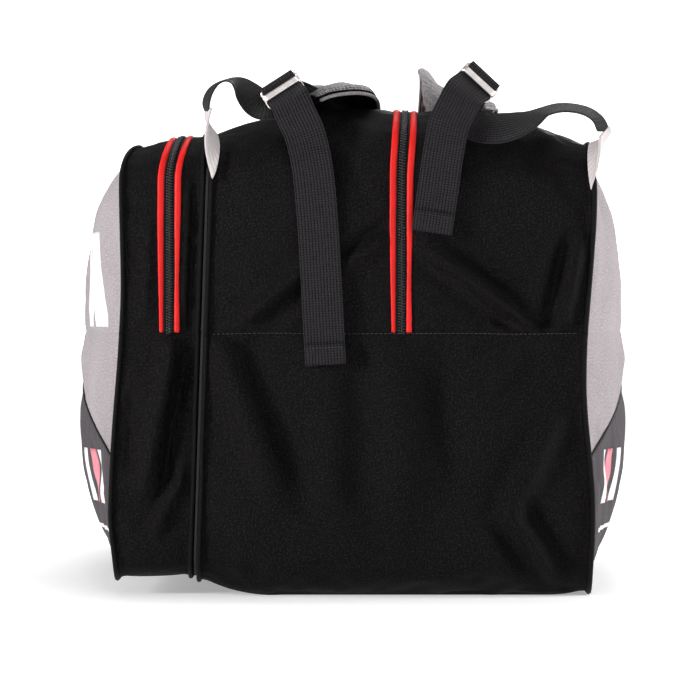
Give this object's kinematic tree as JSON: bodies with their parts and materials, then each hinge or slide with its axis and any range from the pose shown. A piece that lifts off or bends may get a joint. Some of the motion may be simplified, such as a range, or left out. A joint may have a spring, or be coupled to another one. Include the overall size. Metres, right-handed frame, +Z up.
{
  "type": "hockey equipment bag",
  "caption": "Soft duffel for ice hockey gear, with a narrow side compartment beside the main one, a zip over the top of each, piped side panels and two padded carry straps.",
  "frame": {"origin": "on the ground, under the middle of the bag", "axes": "+Z up; +Y along the bag from the front end to the rear end; +X from the side compartment to the main compartment"},
  "size_m": [0.5312, 0.9343, 0.5041],
  "materials": {
    "black_polyester": "coated woven polyester",
    "grey_weave": "heathered woven polyester",
    "charcoal_weave": "woven polyester",
    "piping": "binding tape over cord",
    "red_trim": "satin ribbon",
    "zip_coil": "moulded nylon coil on tape",
    "zip_metal": "gunmetal die casting",
    "tab_grosgrain": "ribbed tape",
    "webbing": "ribbed polypropylene webbing",
    "adjuster_metal": "nickel-plated wire",
    "spacer_mesh": "spacer mesh over foam"
  },
  "bodies": {
    "shell": {"main_floor": "black_polyester", "main_end_front_lower": "black_polyester", "main_end_rear_lower": "black_polyester", "side_floor": "black_polyester", "side_end_front_lower": "black_polyester", "side_end_rear_lower": "black_polyester", "front_panel_lower": "grey_weave", "front_kick_panel": "charcoal_weave", "back_panel_lower": "grey_weave", "back_kick_panel": "charcoal_weave", "divider_panel": "black_polyester", "side_divider_piping": "piping", "main_divider_piping": "piping", "front_piping_lower": "piping", "back_piping_lower": "piping", "main_gusset_left": "black_polyester", "main_zip_trim_left": "red_trim", "main_zip_chain_left": "zip_coil", "side_gusset_right": "black_polyester", "side_zip_trim_right": "red_trim", "side_zip_chain_right": "zip_coil", "left_tab_front": "tab_grosgrain", "left_tab_rear": "tab_grosgrain"},
    "back_wall": {"back_panel_upper": "grey_weave", "back_piping_upper": "piping", "main_gusset_right": "black_polyester", "main_zip_trim_right": "red_trim", "main_zip_chain_right": "zip_coil", "right_tab_front": "tab_grosgrain", "right_tab_rear": "tab_grosgrain"},
    "front_wall": {"front_panel_upper": "grey_weave", "front_piping_upper": "piping", "side_gusset_left": "black_polyester", "side_zip_trim_left": "red_trim", "side_zip_chain_left": "zip_coil"},
    "left_strap": {"left_strap_webbing_front": "webbing", "left_strap_adjuster": "adjuster_metal", "left_strap_adjuster_loop": "webbing", "left_strap_pad": "spacer_mesh", "left_strap_webbing_rear": "webbing"},
    "left_tail": {"left_strap_tail": "webbing"},
    "right_strap": {"right_strap_webbing_front": "webbing", "right_strap_adjuster": "adjuster_metal", "right_strap_adjuster_loop": "webbing", "right_strap_pad": "spacer_mesh", "right_strap_webbing_rear": "webbing"},
    "right_tail": {"right_strap_tail": "webbing"},
    "main_front_slider": {"main_slider_front": "zip_metal"},
    "main_front_pull": {"main_pull_front": "zip_metal"},
    "main_rear_slider": {"main_slider_rear": "zip_metal"},
    "main_rear_pull": {"main_pull_rear": "zip_metal"},
    "side_front_slider": {"side_slider_front": "zip_metal"},
    "side_front_pull": {"side_pull_front": "zip_metal"},
    "side_rear_slider": {"side_slider_rear": "zip_metal"},
    "side_rear_pull": {"side_pull_rear": "zip_metal"}
  },
  "joints": [
    {"name": "back_wall_fold", "type": "hinge", "parent": "shell", "child": "back_wall", "pos_m": [0.269, 0, 0.246], "axis": [0, 1, 0], "range_deg": [0, 28]},
    {"name": "front_wall_fold", "type": "hinge", "parent": "shell", "child": "front_wall", "pos_m": [-0.265, 0, 0.246], "axis": [0, -1, 0], "range_deg": [0, 25]},
    {"name": "left_strap_swing", "type": "hinge", "parent": "shell", "child": "left_strap", "pos_m": [-0.132, 0, 0.4565], "axis": [0, -1, 0], "range_deg": [0, 75]},
    {"name": "left_tail_hang", "type": "hinge", "parent": "left_strap", "child": "left_tail", "pos_m": [-0.058, 0, 0.468], "axis": [0, -1, 0], "range_deg": [-75, 0]},
    {"name": "right_strap_swing", "type": "hinge", "parent": "back_wall", "child": "right_strap", "pos_m": [0.2365, 0, 0.4335], "axis": [0, 1, 0], "range_deg": [0, 75]},
    {"name": "right_tail_hang", "type": "hinge", "parent": "right_strap", "child": "right_tail", "pos_m": [0.112, 0, 0.471], "axis": [0, 1, 0], "range_deg": [-75, 0]},
    {"name": "main_front_slider_travel", "type": "slide", "parent": "back_wall", "child": "main_front_slider", "axis": [0, -1, 0], "range_m": [0, 0.385]},
    {"name": "main_front_pull_flip", "type": "hinge", "parent": "main_front_slider", "child": "main_front_pull", "pos_m": [0.052, -0.015, 0.45836], "axis": [-0.9995, 0, 0.0302], "range_deg": [0, 100]},
    {"name": "main_rear_slider_travel", "type": "slide", "parent": "back_wall", "child": "main_rear_slider", "axis": [0, 1, 0], "range_m": [0, 0.385]},
    {"name": "main_rear_pull_flip", "type": "hinge", "parent": "main_rear_slider", "child": "main_rear_pull", "pos_m": [0.052, 0.015, 0.45836], "axis": [0.9995, 0, -0.0302], "range_deg": [0, 100]},
    {"name": "side_front_slider_travel", "type": "slide", "parent": "front_wall", "child": "side_front_slider", "axis": [0, -1, 0], "range_m": [0, 0.38]},
    {"name": "side_front_pull_flip", "type": "hinge", "parent": "side_front_slider", "child": "side_front_pull", "pos_m": [-0.158, -0.015, 0.43429], "axis": [-0.992, 0, -0.1262], "range_deg": [0, 100]},
    {"name": "side_rear_slider_travel", "type": "slide", "parent": "front_wall", "child": "side_rear_slider", "axis": [0, 1, 0], "range_m": [0, 0.38]},
    {"name": "side_rear_pull_flip", "type": "hinge", "parent": "side_rear_slider", "child": "side_rear_pull", "pos_m": [-0.158, 0.015, 0.43429], "axis": [0.992, 0, 0.1262], "range_deg": [0, 100]}
  ],
  "couplings": [
    {"joint": "left_tail_hang", "follows": "left_strap_swing", "ratio": -1},
    {"joint": "right_tail_hang", "follows": "right_strap_swing", "ratio": -1}
  ]
}
